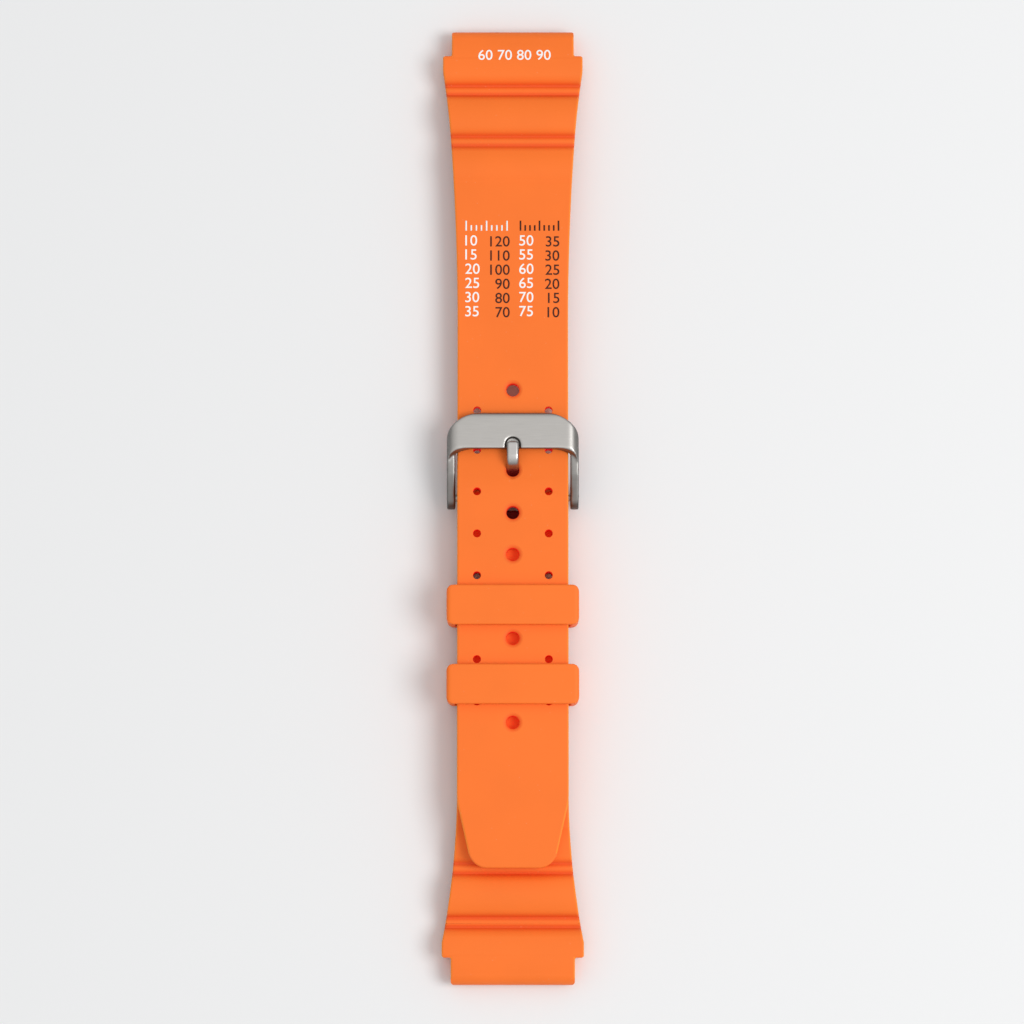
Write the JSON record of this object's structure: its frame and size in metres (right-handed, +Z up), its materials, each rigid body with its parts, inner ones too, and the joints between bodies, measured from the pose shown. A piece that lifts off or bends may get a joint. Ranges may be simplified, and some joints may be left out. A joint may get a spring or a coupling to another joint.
{
  "type": "rubber dive strap",
  "caption": "Orange rubber dive strap, buckled and lying flat: waved lug ends, sizing holes, steel pin buckle on a spring bar and loose keepers.",
  "frame": {"origin": "on the table, under the middle of the closed strap", "axes": "+Y towards the long piece's lug end, +X to its right, +Z up through the buckle"},
  "size_m": [0.023, 0.156, 0.009],
  "materials": {
    "orange_rubber": "satin, fine moulded surface",
    "keeper_rubber": "satin, smooth",
    "buckle_steel": "satin brushed along the bar",
    "tongue_steel": "polished satin",
    "spring_bar_steel": "turned, plain"
  },
  "bodies": {
    "straps": {"long_strap": "orange_rubber", "short_strap": "orange_rubber"},
    "buckle": {"buckle_frame": "buckle_steel", "spring_bar_tube": "spring_bar_steel", "spring_bar_spring": "spring_bar_steel"},
    "tongue": {"buckle_tongue": "tongue_steel"},
    "tip_left": {"spring_bar_tip_left": "spring_bar_steel"},
    "tip_right": {"spring_bar_tip_right": "spring_bar_steel"},
    "keeper_upper": {"upper_keeper": "keeper_rubber"},
    "keeper_lower": {"lower_keeper": "keeper_rubber"}
  },
  "joints": [
    {"name": "buckle_hinge", "type": "hinge", "parent": "straps", "child": "buckle", "pos_m": [0, 0.00084, 0.00335], "axis": [1, 0, 0], "range_deg": [0, 3]},
    {"name": "tongue_hinge", "type": "hinge", "parent": "buckle", "child": "tongue", "pos_m": [0, 0.00084, 0.00335], "axis": [1, 0, 0], "range_deg": [0, 2]},
    {"name": "left_tip_slide", "type": "slide", "parent": "buckle", "child": "tip_left", "axis": [1, 0, 0], "range_m": [0, 0.001], "stiffness_N_per_m": 2000, "deforming": ["spring_bar_spring"]},
    {"name": "right_tip_slide", "type": "slide", "parent": "buckle", "child": "tip_right", "axis": [-1, 0, 0], "range_m": [0, 0.001], "stiffness_N_per_m": 2000, "deforming": ["spring_bar_spring"]},
    {"name": "upper_keeper_slide", "type": "slide", "parent": "straps", "child": "keeper_upper", "axis": [0, 1, 0], "range_m": [-0.003, 0.0123]},
    {"name": "lower_keeper_slide", "type": "slide", "parent": "straps", "child": "keeper_lower", "axis": [0, 1, 0], "range_m": [-0.0125, 0.003]}
  ]
}
